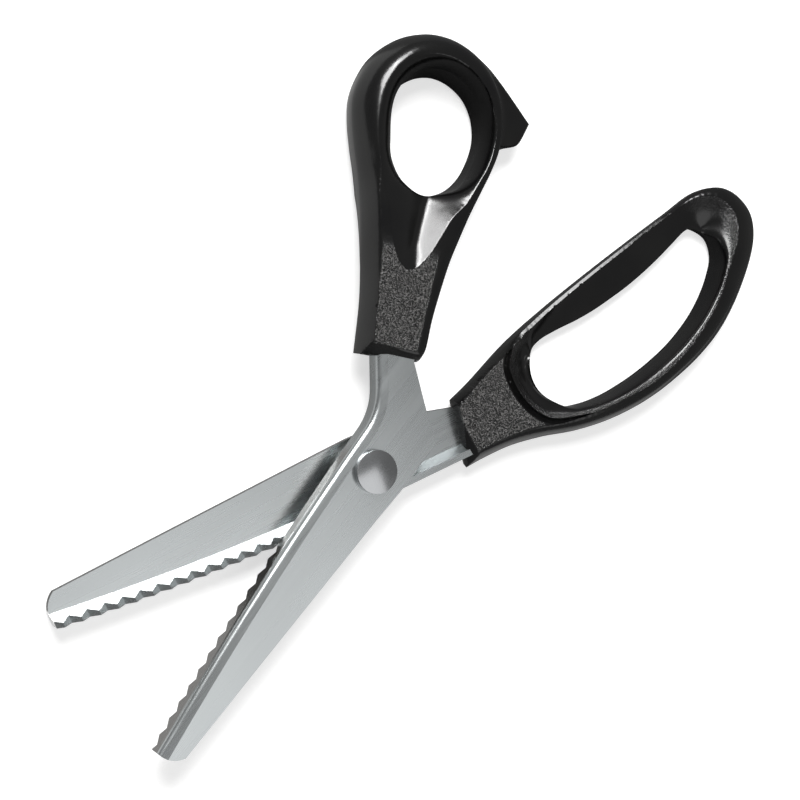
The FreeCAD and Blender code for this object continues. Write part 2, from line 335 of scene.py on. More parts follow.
# --- thumb handle ---------------------------------------------------------------------
# THUMB_SIDE is the side wall of the loop and stem. THUMB_STOP is the tab that stands out of
# the loop. The crest runs along THUMB_RIDGE, BOWL and THUMB_RIDGE_LOW. BOWL and HOLLOW bound
# the bowl round the hole and the hollow for the thumb, and THUMB_THROAT is the hole.
THUMB_SIDE = [(24.2, -21.4), (32.5, -33.5), (41.0, -43.6), (48.4, -52.0), (54.8, -58.2),
              (60.8, -63.3), (66.3, -68.5), (70.3, -73.7), (72.5, -80.1), (72.9, -86.6),
              (70.8, -94.2), (66.5, -100.5), (61.0, -104.7), (55.0, -106.8), (48.5, -107.2),
              (42.0, -105.6), (36.4, -102.4), (32.2, -97.9), (28.9, -92.2), (26.9, -85.8),
              (25.5, -79.2), (24.1, -72.5), (22.2, -65.2), (20.0, -57.7), (17.1, -50.2),
              (13.6, -42.2), (9.9, -35.2), (9.4, -31.0)]
THUMB_STOP = ([(61.0, -104.8), (56.8, -107.0), (51.6, -108.4), (45.4, -108.9), (39.3, -108.4),
               (33.0, -107.5), (25.6, -106.3)],
              [(25.6, -106.3), (24.5, -100.9), (24.7, -98.6), (25.8, -96.9), (27.4, -94.8),
               (28.9, -91.6)])
THUMB_RIDGE = [(21.9, -21.6, 16.0), (24.9, -26.2, 16.0), (29.2, -32.4, 16.0),
               (34.1, -38.9, 16.0), (38.5, -45.2, 16.0), (43.6, -50.6, 16.0),
               (49.4, -56.6, 16.0)]
BOWL = [(53.6, -62.1, 16.0), (58.6, -66.7, 16.0), (61.9, -70.5, 16.0), (64.6, -74.9, 16.0),
        (66.8, -79.9, 16.0), (67.5, -85.0, 16.0), (66.6, -90.3, 15.8), (64.3, -94.5, 15.5),
        (60.1, -98.3, 15.0), (54.9, -100.8, 14.5), (48.6, -102.0, 13.8), (42.2, -101.3, 13.0),
        (37.2, -98.9, 12.6), (33.4, -95.5, 12.5), (30.8, -91.3, 12.5), (29.0, -86.5, 12.8),
        (28.1, -80.4, 13.2), (27.4, -73.7, 13.8)]
HOLLOW = [(28.2, -67.1, 14.5), (27.6, -60.6, 15.2), (27.0, -54.7, 15.6), (27.3, -49.9, 15.7),
          (29.2, -47.2, 15.8), (32.2, -46.6, 16.0), (35.8, -48.2, 16.0), (40.4, -51.7, 16.0),
          (45.0, -55.8, 16.0), (49.9, -59.4, 16.0)]
THUMB_RIDGE_LOW = [(27.0, -66.0, 14.6), (25.1, -58.1, 15.0), (22.2, -52.2, 15.0),
                   (19.3, -46.3, 15.0), (15.6, -39.1, 15.0), (11.9, -31.9, 15.0),
                   (11.2, -29.6, 15.0)]
THUMB_THROAT = [(54.1, -72.4), (58.6, -77.8), (60.9, -82.4), (61.5, -87.0), (60.6, -91.5),
                (58.6, -95.5), (55.2, -98.8), (50.6, -100.7), (45.0, -101.0), (39.9, -99.2),
                (35.8, -95.6), (32.7, -91.2), (30.8, -86.2), (30.0, -81.0), (30.9, -75.6),
                (33.8, -71.0), (36.8, -67.8), (41.0, -65.6), (46.2, -65.3), (50.7, -68.3)]
FERRULE_MID = np.array([16.4, -26.8])   # middle of the ferrule end
STEM = np.array([0.5, -0.866])          # from the ferrule end towards the loop
FERRULE_OVERLAP = 0.35                  # how far the ferrule end lies before FERRULE_MID
ON_SIDE = 0.06                          # a point nearer than this to the side line is on it

# beyond the ferrule end, where the crest line's two ends are closed
THUMB_CORNER_TOP = [(21.0, -19.6, 16.0)]
THUMB_CORNER_LOW = [(9.0, -26.0, 15.0)]
# along the side, from the ferrule's outer corner round the loop and back: (place, value)
THUMB_FOOT_Z = ((0, 8.6), (.2, 8.4), (.5, 8.4), (.62, 9.0), (.7, 10.5), (1.0, 11.6))
THUMB_ROUNDING = ((0, 1.25), (.2, 1.35), (.42, 1.7), (.52, 2.2), (.62, 3.2), (.7, 3.4), (1.0, 2.2))
THUMB_PART_Z = ((0, 8.2), (.2, 8.0), (.5, 7.6), (.62, 7.6), (1.0, 8.2))
THUMB_BACK_Z = ((0, 7.0), (22, 7.0), (42, 0.15), (60, 0.0))     # (distance from the end, height)

THUMB_LIP_Z = 6.0
HOLLOW_LIP_RISE = 2.2
HOLLOW_FROM, HOLLOW_FADE = 57.0, 14.0
FUNNEL_POWER = 1.7
STEEP_SLOPE, GENTLE_SLOPE = 0.68, 0.36
SCOOP_ROUND = 1.0
THUMB_BEVEL_Z, THUMB_BEVEL_SLOPE, THUMB_BEVEL_ROUND = 12.4, 1.1, 0.5
STOP_Z = 8.6
STOP_PARTING = 1.6                      # from the tab's top down to its parting line
STOP_BACK_Z = 0.3
STOP_ROOT_RISE, STOP_ROOT_RUN = 1.6, 1.3
STOP_EDGE_DROP, STOP_EDGE_SLOPE, STOP_EDGE_ROUND = 0.9, 1.3, 0.5
PANEL_BORDER = 0.6                      # smooth border between the grain and the crest
THUMB_GRAIN_FROM, THUMB_GRAIN_EDGE = 2.8, 0.5
THUMB_GRAIN_TO, THUMB_GRAIN_FADE = 25.0, 8.0
LIP_BACK_RISE, LIP_BACK_RUN = 0.9, 1.2  # the hole's edge stands in from the back
THUMB_BACK_RUN, BACK_ROUNDING = 3.2, 1.8
STOP_BACK_RUN, STOP_BACK_ROUNDING = 1.0, 2.0
NARROW_FROM, NARROW_FADE, NARROW_BY, NARROW_RUN = 62.0, 14.0, 2.0, 3.0  # back of the hole

TH_SIDE = catmull(THUMB_SIDE, STEP, False)
TH_LOOP = np.vstack([TH_SIDE, straight(TH_SIDE[-1], TH_SIDE[0], STEP)[1:]])
TH_HOLE = catmull(THUMB_THROAT, STEP, True)
TH_BOWL = catmull(BOWL + HOLLOW, STEP, True)
TH_STEEP = catmull(BOWL[-3:] + HOLLOW[:4], STEP, False)
TH_GENTLE = catmull(HOLLOW[4:] + BOWL[:4], STEP, False)
TH_RIDGE = catmull(THUMB_RIDGE + BOWL + THUMB_RIDGE_LOW, STEP, False)
TH_TOP = np.vstack([THUMB_CORNER_TOP, TH_RIDGE, THUMB_CORNER_LOW])
TH_EDGE = TH_RIDGE[nearest(TH_RIDGE, TH_BOWL)[0] > CREST_CLEAR]     # crest beyond the bowl
# the tab takes the place of the loop's side between its two ends
STOP_ENDS = np.array([THUMB_STOP[0][0], THUMB_STOP[-1][-1]])
STOP_START, STOP_END = (nearest(STOP_ENDS, TH_SIDE, closed=False)[1] * len(TH_SIDE)).astype(int)
TH_OUT = np.vstack([TH_SIDE[:STOP_START], corner_line(*THUMB_STOP), TH_SIDE[STOP_END + 1:],
                    straight(TH_SIDE[-1], TH_SIDE[0], STEP)[1:]])


def thumb_front(xy):
    """Front heights of the thumb handle, and where its surface is grained."""
    edge, where = nearest(xy, TH_SIDE, closed=False)
    lip, _ = nearest(xy, TH_HOLE)
    rim, _ = nearest(xy, TH_BOWL)
    crest, _ = nearest(xy, TH_RIDGE, closed=False)
    bound, _ = nearest(xy, TH_OUT)
    s = (xy - FERRULE_MID) @ STEM
    end = s + FERRULE_OVERLAP
    top = ridge_height(xy, TH_RIDGE)
    # outer side: broad and rounded along the thumb side, upright along the other
    foot = lookup(where, THUMB_FOOT_Z)
    side = foot + (top - foot) * swell(share(edge, crest), lookup(where, THUMB_ROUNDING))
    outer = ~inside(xy, TH_TOP)
    z = np.where(outer, side, top)
    # bowl: rounded funnel round the hole, running into the hollow for the thumb
    inner = inside(xy, TH_BOWL)
    hollow = smooth((HOLLOW_FROM - s) / HOLLOW_FADE)
    lip_z = THUMB_LIP_Z + HOLLOW_LIP_RISE * hollow
    funnel = 1 - swell(1 - np.where(inner, share(rim, lip), 0.0), FUNNEL_POWER)
    steep, _ = nearest(xy, TH_STEEP, closed=False)
    gentle, _ = nearest(xy, TH_GENTLE, closed=False)
    scoop = soft_min(STEEP_SLOPE * steep, GENTLE_SLOPE * gentle, SCOOP_ROUND)
    drop = (z - lip_z) * funnel * (1 - hollow) + scoop * hollow
    z = z - np.where(inner, drop, 0.0)
    # bevel at the ferrule end
    z = soft_min(z, THUMB_BEVEL_Z + end * THUMB_BEVEL_SLOPE, THUMB_BEVEL_ROUND)
    # stop tab: level, with a soft root against the loop and eased edges
    tab = ~inside(xy, TH_LOOP) & (edge > ON_SIDE)
    level = STOP_Z + STOP_ROOT_RISE * np.exp(-edge / STOP_ROOT_RUN)
    eased = STOP_Z - STOP_EDGE_DROP + bound * STOP_EDGE_SLOPE
    z = np.where(tab, soft_min(level, eased, STOP_EDGE_ROUND), z)
    # grained panel between the hollow and the ferrule end
    panel = ~outer & ~inner
    grain = panel * smooth(crest / PANEL_BORDER)
    grain = grain * smooth((end - THUMB_GRAIN_FROM) / THUMB_GRAIN_EDGE)
    return z, grain * (1 - smooth((s - THUMB_GRAIN_TO) / THUMB_GRAIN_FADE))


def thumb_back(xy):
    """Places and heights of the thumb handle's back, under the same plan points."""
    edge, where = nearest(xy, TH_SIDE, closed=False)
    bound, _ = nearest(xy, TH_OUT)
    lip, _ = nearest(xy, TH_HOLE)
    s = (xy - FERRULE_MID) @ STEM
    level = lookup(s, THUMB_BACK_Z)
    tab = ~inside(xy, TH_LOOP) & (edge > ON_SIDE)
    part = np.where(tab, STOP_Z - STOP_PARTING, lookup(where, THUMB_PART_Z))
    z = part + (level - part) * swell(bound / THUMB_BACK_RUN, BACK_ROUNDING)
    tab_z = part + (STOP_BACK_Z - part) * swell(bound / STOP_BACK_RUN, STOP_BACK_ROUNDING)
    z = np.maximum(np.where(tab, tab_z, z), np.minimum(level, part))
    z = z + LIP_BACK_RISE * (1 - smooth(lip / LIP_BACK_RUN))
    # the hole narrows towards the back at the far end of the loop
    slide = NARROW_BY * smooth((s - NARROW_FROM) / NARROW_FADE) * (1 - smooth(lip / NARROW_RUN))
    return xy - STEM * slide[:, None], z


HOLE_RINGS = (0.12, 0.28, 0.5, 0.8, 1.2, 1.7, 2.3, 3.0)
thumb_handle = moulding(
    "thumb_handle_shell", HALF_OPEN, TH_OUT, TH_HOLE, thumb_front, thumb_back,
    ((0.15, 0.35, 0.6, 0.9, 1.25, 1.65, 2.1, 2.6, 3.2, 3.9, 4.7, 5.6), HOLE_RINGS),
    [(TH_BOWL, (-0.7, -0.4, -0.2, 0.0, 0.2, 0.45)), (TH_EDGE, (-0.4, 0.0, 0.4)),
     (TH_SIDE, (-0.8, -0.4, -0.15, 0.0, 0.15, 0.4, 0.8))])
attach(thumb_handle, "thumb_half")
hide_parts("thumb_handle")

# --- finger handle --------------------------------------------------------------------
# The long loop has a sharp ridge on its upper bar, a round lower bar and a raised collar,
# with a groove between the collar and the grained ferrule panel.
FINGER_SIDE = [(6.1, -33.1), (8.6, -40.9), (14.2, -55.6), (18.4, -71.4), (22.1, -88.5),
               (25.5, -106.0), (28.2, -120.9), (30.2, -132.0), (28.8, -140.4), (24.4, -145.9),
               (17.6, -148.8), (10.5, -147.5), (3.1, -142.4), (-5.7, -133.2), (-11.9, -124.0),
               (-15.9, -114.4), (-18.4, -104.8), (-20.0, -95.6), (-20.6, -86.0), (-20.1, -76.0),
               (-18.4, -65.5), (-15.7, -55.6), (-13.8, -45.4), (-13.4, -36.0), (-13.6, -30.0)]
UPPER_EDGE = [(4.7, -32.6, 9.0), (6.0, -35.6, 9.0), (8.7, -41.7, 9.0), (11.0, -48.0, 9.2)]
UPPER_RIDGE = [(13.2, -55.7, 8.6), (15.2, -62.4, 7.8), (17.7, -71.9, 7.1),
               (21.4, -88.7, 6.7), (24.8, -106.2, 6.4), (27.4, -120.0, 6.0),
               (28.7, -127.5, 6.2), (28.3, -133.8, 7.2)]
LOOP_CREST = [(25.2, -139.0, 8.4), (19.5, -141.2, 9.2), (13.0, -139.1, 9.8),
              (5.8, -132.5, 10.2), (-2.2, -124.8, 10.2), (-8.7, -114.5, 10.2),
              (-12.9, -104.5, 10.2), (-15.3, -93.9, 10.2), (-15.7, -83.4, 10.2),
              (-15.2, -73.9, 10.1)]
COLLAR = [(-13.5, -65.9, 9.9), (-10.9, -58.8, 9.8), (-6.5, -54.7, 9.8), (-1.1, -52.3, 9.8),
          (4.3, -51.4, 9.8), (8.8, -51.9, 9.8)]
LOWER_EDGE = [(-13.9, -63.0, 9.4), (-11.6, -54.3, 9.0), (-10.5, -47.6, 9.0),
              (-9.9, -40.8, 9.0), (-9.8, -33.4, 9.0), (-9.7, -30.0, 9.0)]
FINGER_THROAT = [(-12.8, -72.4), (-10.6, -65.9), (-4.3, -59.8), (2.0, -58.2), (7.2, -60.2),
                 (10.1, -65.7), (10.7, -72.7), (10.7, -79.8), (11.1, -86.5), (12.0, -93.2),
                 (13.1, -99.8), (14.7, -106.7), (16.6, -113.3), (18.7, -119.5), (20.6, -125.5),
                 (19.8, -129.0), (15.1, -133.0), (9.2, -132.8), (4.2, -129.3), (-0.2, -124.7),
                 (-3.9, -119.5), (-6.9, -113.8), (-9.4, -107.5), (-11.2, -100.9), (-12.5, -94.3),
                 (-13.3, -87.6), (-13.6, -80.0)]
FINGER_CORNER_TOP = [(4.2, -30.0, 9.0)]
FINGER_CORNER_LOW = [(-9.6, -28.0, 9.0)]
FINGER_END = np.array([-3.4, -31.5])    # middle of the ferrule end
FINGER_AXIS = np.array([0.166, -0.986])     # from the ferrule end towards the loop
FAR_END = (12.0, -122.0)                # about which the loop turns at its far end
# along the side, from the ferrule's upper corner round the loop and back: (place, value)
FINGER_FALL = ((0, 3.6), (.07, 2.6), (.11, 0.5), (.33, 0.36), (.40, 1.6), (.46, 3.6), (.6, 5.6),
               (1.0, 4.6))
FINGER_ROUNDING = ((0, 1.3), (.07, 1.3), (.11, 1.0), (.33, 1.0), (.42, 1.7), (.6, 2.0), (.85, 1.8),
                   (1.0, 1.3))
FINGER_LIP_Z = 3.4
UPPER_LIP_RISE, COLLAR_LIP_RISE = 0.6, 3.4
UPPER_SIDE = (0.985, 0.17)              # across the loop, towards the upper bar
UPPER_BAR_AT, UPPER_BAR_FADE = -13.0, 5.0
UPPER_BAR_Y, UPPER_BAR_START = -58.0, 6.0
UPPER_BAR_TURN, UPPER_BAR_TURN_FADE = 15.0, 90.0    # degrees round FAR_END
COLLAR_Y, COLLAR_FADE = -74.0, 12.0
UPPER_CURVED, UPPER_CURVE_POWER = 0.75, 1.9         # curved part of the hollow face
BAR_SLOPE = 0.58                        # of the round bars' inner side
BAR_CREST_ROUND = 0.5
BAR_FOOT_POWER = 9                      # higher drops later and more steeply at the hole
GROOVE_DEPTH = 1.3
GROOVE_FROM, GROOVE_WIDTH, GROOVE_WALL = 0.3, 2.0, 0.4
FINGER_BEVEL_Z, FINGER_BEVEL_SLOPE, FINGER_BEVEL_ROUND = 8.3, 0.9, 0.3
FINGER_GRAIN_FROM, FINGER_GRAIN_EDGE = 0.7, 0.4
GROOVE_BORDER, GROOVE_BORDER_FADE = 1.5, 1.2
BAND_FROM, BAND_FADE, BAND_GRAIN = 0.45, 0.3, 0.5   # lightly grained band along the bars
BAND_Y, BAND_Y_FADE = -48.0, 6.0
FINGER_PART_Z = 4.4
FINGER_BACK_RUN = 2.4

FG_SIDE = catmull(FINGER_SIDE, STEP, False)
FG_OUT = np.vstack([FG_SIDE, straight(FG_SIDE[-1], FG_SIDE[0], STEP)[1:]])
FG_HOLE = catmull(FINGER_THROAT, STEP, True)
FG_LOOP = catmull(UPPER_RIDGE + LOOP_CREST + COLLAR, STEP, True)
FG_RIDGE = catmull(UPPER_EDGE + UPPER_RIDGE + LOOP_CREST + LOWER_EDGE, STEP, False)
FG_COLLAR = catmull(LOOP_CREST[-1:] + COLLAR + UPPER_RIDGE[:1], STEP, False)
FG_TOP = np.vstack([FINGER_CORNER_TOP, FG_RIDGE, FINGER_CORNER_LOW])


def finger_front(xy):
    """Front heights of the finger handle, and where its surface is grained."""
    x, y = xy.T
    edge, where = nearest(xy, FG_SIDE, closed=False)
    lip, _ = nearest(xy, FG_HOLE)
    rim, _ = nearest(xy, FG_LOOP)
    crest, _ = nearest(xy, FG_RIDGE, closed=False)
    ring, _ = nearest(xy, FG_COLLAR, closed=False)
    s = (xy - FINGER_END) @ FINGER_AXIS
    top = ridge_height(xy, FG_RIDGE)
    # outer side
    foot = top - lookup(where, FINGER_FALL)
    side = foot + (top - foot) * swell(share(edge, crest), lookup(where, FINGER_ROUNDING))
    outer = ~inside(xy, FG_TOP)
    z = np.where(outer, side, top)
    # bars: hollow face below the upper ridge, round elsewhere
    inner = inside(xy, FG_LOOP)
    u = np.where(inner, share(lip, rim), 1.0)
    turned = np.degrees(np.arctan2(FAR_END[1] - y, x - FAR_END[0]))
    upper = smooth((x * UPPER_SIDE[0] + y * UPPER_SIDE[1] - UPPER_BAR_AT) / UPPER_BAR_FADE)
    upper = upper * smooth((UPPER_BAR_Y - y) / UPPER_BAR_START)
    upper = upper * (1 - smooth((turned + UPPER_BAR_TURN) / UPPER_BAR_TURN_FADE))
    collar = smooth((y - COLLAR_Y) / COLLAR_FADE) * (1 - upper)
    lip_z = FINGER_LIP_Z + UPPER_LIP_RISE * upper + COLLAR_LIP_RISE * collar
    hollow = 1 - UPPER_CURVED * u ** UPPER_CURVE_POWER - (1 - UPPER_CURVED) * u
    hollow = (top - lip_z) * hollow
    rounded = BAR_SLOPE * (np.sqrt(rim ** 2 + BAR_CREST_ROUND ** 2) - BAR_CREST_ROUND)
    rounded = rounded + (top - lip_z - BAR_SLOPE * (rim + lip)) * (1 - u) ** BAR_FOOT_POWER
    z = np.where(inner, top - hollow * upper - rounded * (1 - upper), z)
    # groove outside the collar
    cut = GROOVE_DEPTH * (1 - smooth((ring - GROOVE_FROM) / GROOVE_WIDTH))
    panel = ~outer & ~inner
    z = z - np.where(panel, cut * smooth(ring / GROOVE_WALL), 0.0)
    # bevel at the ferrule end
    z = soft_min(z, FINGER_BEVEL_Z + s * FINGER_BEVEL_SLOPE, FINGER_BEVEL_ROUND)
    # grain on the ferrule panel and, more lightly, along the bars
    grain = panel * smooth(crest / PANEL_BORDER)
    grain = grain * smooth((s - FINGER_GRAIN_FROM) / FINGER_GRAIN_EDGE)
    grain = grain * smooth((ring - GROOVE_BORDER) / GROOVE_BORDER_FADE)
    band = inner * (1 - upper) * smooth((u - BAND_FROM) / BAND_FADE)
    band = band * smooth((BAND_Y - y) / BAND_Y_FADE)
    return z, np.clip(grain + BAND_GRAIN * band, 0, 1)


def finger_back(xy):
    """Places and heights of the finger handle's back."""
    edge, _ = nearest(xy, FG_OUT)
    lip, _ = nearest(xy, FG_HOLE)
    z = FINGER_PART_Z * (1 - swell(edge / FINGER_BACK_RUN, BACK_ROUNDING))
    z = z + LIP_BACK_RISE * (1 - smooth(lip / LIP_BACK_RUN))
    return xy.copy(), np.minimum(z, FINGER_PART_Z)


finger_handle = moulding(
    "finger_handle_shell", -HALF_OPEN, FG_OUT, FG_HOLE, finger_front, finger_back,
    ((0.15, 0.35, 0.6, 0.9, 1.25, 1.65, 2.1, 2.6, 3.2, 3.9, 4.7), HOLE_RINGS),
    [(FG_LOOP, (-0.4, -0.2, 0.0, 0.2, 0.4)),
     (FG_RIDGE, (0.0, -0.13, 0.13, -0.26, 0.26, -0.4, 0.4, -0.6, 0.6)),
     (FG_COLLAR, (-2.2, -1.7, -1.2, -0.8, -0.45, -0.2, 0.0, 0.2, 0.45, 0.8, 1.2, 1.7, 2.2))])
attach(finger_handle, "finger_half")
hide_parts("finger_handle")


# --- floor and light ------------------------------------------------------------------
LIGHT_TARGET = Vector((0.0, 0.0, 0.01))
LIGHT_DISTANCE = 1.0
# name, place as seen in the view (to the right, upward, towards the camera), size, watts
LIGHTS = (("key", (0.10, 0.61, 0.785), (0.50, 0.46), 13.0),
          ("sheet", (0.56, -0.48, 0.67), (0.80, 0.80), 2.1),
          ("strip", (0.30, 0.74, 0.60), (0.34, 0.28), 4.6),
          ("side", (-0.86, -0.20, 0.45), (0.20, 0.50), 0.4))
FLOOR_HALF = 1.6
FLOOR_Z = -0.0002
SKY_STRENGTH = 0.20


def soft_box(name, place, size, power):
    """Area light that faces the target from a direction given as seen in the view."""
    data = bpy.data.lights.new(name, "AREA")
    data.shape = "RECTANGLE"
    data.size, data.size_y = size
    data.energy = power
    lamp = bpy.data.objects.new(name, data)
    bpy.context.scene.collection.objects.link(lamp)
    right, up, back = place
    direction = (VIEW_RIGHT * right + VIEW_UP * up + VIEW_BACK * back).normalized()
    lamp.location = LIGHT_TARGET + direction * LIGHT_DISTANCE
    lamp.rotation_mode = "QUATERNION"
    lamp.rotation_quaternion = (-direction).to_track_quat("-Z", "Y")


def make_floor():
    mesh = bpy.data.meshes.new("floor")
    sides = ((-1, -1), (1, -1), (1, 1), (-1, 1))
    corners = [(x * FLOOR_HALF, y * FLOOR_HALF, FLOOR_Z) for x, y in sides]
    mesh.from_pydata(corners, [], [(0, 1, 2, 3)])
    obj = bpy.data.objects.new("floor", mesh)
    bpy.context.scene.collection.objects.link(obj)
    return obj


def make_sky():
    world = bpy.data.worlds.new("studio")
    bpy.context.scene.world = world
    world.use_nodes = True
    sky = world.node_tree.nodes["Background"].inputs
    sky["Color"].default_value = (1.0, 1.0, 1.0, 1.0)
    sky["Strength"].default_value = SKY_STRENGTH


for light in LIGHTS:
    soft_box(*light)
stage_floor = make_floor()
make_sky()
bpy.context.scene.view_settings.view_transform = "Standard"


# --- materials ------------------------------------------------------------------------
BLADE_TONE = (0.50, 0.525, 0.53)
BLADE_ROUGH = 0.27
# painted shade: the blades' cut spine is coloured near black
SPINE_SHADE_TONE = (0.03, 0.03, 0.03)
SPINE_EDGE = (0.0032, 0.0036)           # across the blade from the pivot, in metres
SHANK_PAINTED_SHADE = 0.6                       # painted shade of the flange beside the shank, as a share of the sheet's tone
PAPER_GLOW = 0.60
# painted shade in reflections: a dark patch of the floor's colour, seen only by glossy rays,
# darkens what the polished parts reflect near the handles
REFLECTED_SHADE_TONE = (0.08, 0.08, 0.08)
REFLECTED_SHADE_BEYOND = (-0.0135, 0.0)            # up the view from the camera's aim, in metres
REFLECTED_SHADE_BESIDE = (-0.015, -0.011)          # to the right of it
REFLECTED_SHADE_ELSEWHERE = 0.35                   # share of the painted shade to the left of the handles


class Finish:
    """A node material on the Principled shader, with small helpers for its nodes."""

    def __init__(self, name):
        self.material = bpy.data.materials.new(name)
        self.material.use_nodes = True
        self.tree = self.material.node_tree
        self.shader = self.tree.nodes["Principled BSDF"]

    def node(self, kind, **values):
        made = self.tree.nodes.new(kind)
        for key, value in values.items():
            setattr(made, key, value)
        return made

    def link(self, out, into):
        self.tree.links.new(out, into)

    def feed(self, value, socket):
        """Sets a socket to a number or links a node's output to it."""
        if isinstance(value, (int, float)):
            socket.default_value = value
        else:
            self.link(value, socket)

    def drive(self, socket, out):
        """Links a node's output to one of the shader's sockets."""
        self.link(out, self.shader.inputs[socket])

    def put(self, **values):
        """Sets the shader's own sockets to constants."""
        for key, value in values.items():
            self.shader.inputs[key.replace("_", " ")].default_value = value

    def place(self, turn=0.0, scale=(1, 1, 1)):
        """Object coordinates, turned about Z and scaled, for the texture nodes."""
        coords = self.node("ShaderNodeTexCoord")
        spin = self.node("ShaderNodeMapping")
        spin.inputs["Rotation"].default_value = (0, 0, -turn)
        self.link(coords.outputs["Object"], spin.inputs["Vector"])
        grow = self.node("ShaderNodeMapping")
        grow.inputs["Scale"].default_value = scale
        self.link(spin.outputs[0], grow.inputs["Vector"])
        return grow.outputs[0]

    def split(self, vector):
        """X, Y and Z of a vector."""
        made = self.node("ShaderNodeSeparateXYZ")
        self.link(vector, made.inputs[0])
        return made.outputs

    def noise(self, vector, scale, detail=2.0, rough=0.5):
        tex = self.node("ShaderNodeTexNoise")
        tex.inputs["Scale"].default_value = scale
        tex.inputs["Detail"].default_value = detail
        tex.inputs["Roughness"].default_value = rough
        self.link(vector, tex.inputs["Vector"])
        return tex.outputs["Fac"]

    def span(self, fac, lo, hi, out_lo=0.0, out_hi=1.0):
        """Maps lo to hi onto out_lo to out_hi, and holds the ends."""
        ramp = self.node("ShaderNodeMapRange")
        ramp.inputs["From Min"].default_value = lo
        ramp.inputs["From Max"].default_value = hi
        ramp.inputs["To Min"].default_value = out_lo
        ramp.inputs["To Max"].default_value = out_hi
        self.link(fac, ramp.inputs["Value"])
        return ramp.outputs["Result"]

    def math(self, operation, a, b):
        made = self.node("ShaderNodeMath", operation=operation)
        self.feed(a, made.inputs[0])
        self.feed(b, made.inputs[1])
        return made.outputs[0]

    def blend(self, fac, a, b):
        """Colour between a and b, each a colour or a node's output."""
        mix = self.node("ShaderNodeMix", data_type="RGBA")
        for value, key in ((a, "A"), (b, "B")):
            if isinstance(value, tuple):
                mix.inputs[key].default_value = (*value, 1)
            else:
                self.link(value, mix.inputs[key])
        self.link(fac, mix.inputs["Factor"])
        return mix.outputs["Result"]

    def bump(self, height, strength, distance, normal=None):
        made = self.node("ShaderNodeBump")
        made.inputs["Distance"].default_value = distance
        self.feed(strength, made.inputs["Strength"])
        self.link(height, made.inputs["Height"])
        if normal is not None:
            self.link(normal, made.inputs["Normal"])
        return made.outputs["Normal"]


def moulded_plastic():
    """Polished black plastic, rough and bumped where the mesh's grain attribute says so, with
    painted glints there: light grey specks in its colour.
    """
    f = Finish("black_moulded_plastic")
    f.put(Metallic=0.0, IOR=1.52)
    at = f.place()
    mask = f.node("ShaderNodeAttribute", attribute_name="grain").outputs["Fac"]
    cells = f.noise(at, 2300.0, 1.5, 0.55)
    waves = f.noise(at, 330.0)
    cloud = f.noise(at, 60.0)
    body = f.blend(f.span(cloud, 0.3, 0.7), (0.0020, 0.0020, 0.0022), (0.0042, 0.0042, 0.0040))
    # painted glints: light grey specks in the grained faces' colour stand in for light caught by
    # the grain, whose roughness and bump are real
    painted_glints = f.math("MULTIPLY", f.span(cells, 0.44, 0.68), f.span(mask, 0.45, 0.9))
    f.drive("Base Color", f.blend(painted_glints, body, (0.13, 0.127, 0.124)))
    polished = f.span(cloud, 0.3, 0.7, 0.17, 0.23)
    f.drive("Roughness", f.math("ADD", polished, f.math("MULTIPLY", mask, 0.10)))
    fine = f.bump(waves, 0.15, 0.00010)
    f.drive("Normal", f.bump(cells, mask, 0.0012, fine))
    return f.material


def brushed_steel(name, turn, flange_shade_and_highlight, upright_to, spine_side):
    """Lengthwise brushed sheet, with light and shade painted on its upright faces.

    A face whose normal has less than upright_to along Z is a flange or spine, and the spine
    lies to spine_side in X. The cut spine is painted near black as shade. The flange gets the
    painted tone from its flange argument: painted shade on the thumb blade and a painted highlight
    on the finger blade. Towards the handle the flange has a darker painted shade of the sheet's
    tone.
    """
    f = Finish(name)
    f.put(Metallic=1.0)
    lines = f.noise(f.place(turn, (2600.0, 30.0, 2600.0)), 1.0, 3.0, 0.6)
    broad = f.noise(f.place(turn, (420.0, 16.0, 420.0)), 1.0)
    cloud = f.noise(f.place(turn, (60.0, 30.0, 60.0)), 1.0)
    mixed = f.math("ADD", f.math("MULTIPLY", lines, 0.35), f.math("MULTIPLY", broad, 0.65))
    dull = tuple(c * 0.95 for c in BLADE_TONE)
    bright = tuple(c * 1.04 for c in BLADE_TONE)
    sheet = f.blend(f.span(mixed, 0.35, 0.65), dull, bright)
    normal = f.split(f.node("ShaderNodeNewGeometry").outputs["Normal"])
    level = f.math("ABSOLUTE", normal["Z"], 0.0)
    upright = f.span(level, upright_to * 0.4, upright_to, 1.0, 0.0)
    at = f.split(f.place(turn))
    across = f.math("MULTIPLY", at["X"], spine_side)
    shank = f.span(at["Y"], -0.002, 0.002, 1.0, 0.0)
    # painted light on the upright faces: the flange's painted tone, a darker painted shade beside
    # the shank, and near-black painted shade on the spine
    painted_flange_light = f.blend(shank, flange_shade_and_highlight, tuple(c * SHANK_PAINTED_SHADE for c in BLADE_TONE))
    painted_wall_light = f.blend(f.span(across, *SPINE_EDGE), painted_flange_light, SPINE_SHADE_TONE)
    f.drive("Base Color", f.blend(upright, sheet, painted_wall_light))
    rough = f.span(mixed, 0.3, 0.7, BLADE_ROUGH - 0.03, BLADE_ROUGH + 0.04)
    f.drive("Roughness", f.math("ADD", rough, f.span(cloud, 0.3, 0.7, -0.02, 0.02)))
    f.drive("Normal", f.bump(lines, 0.10, 0.00002))
    return f.material


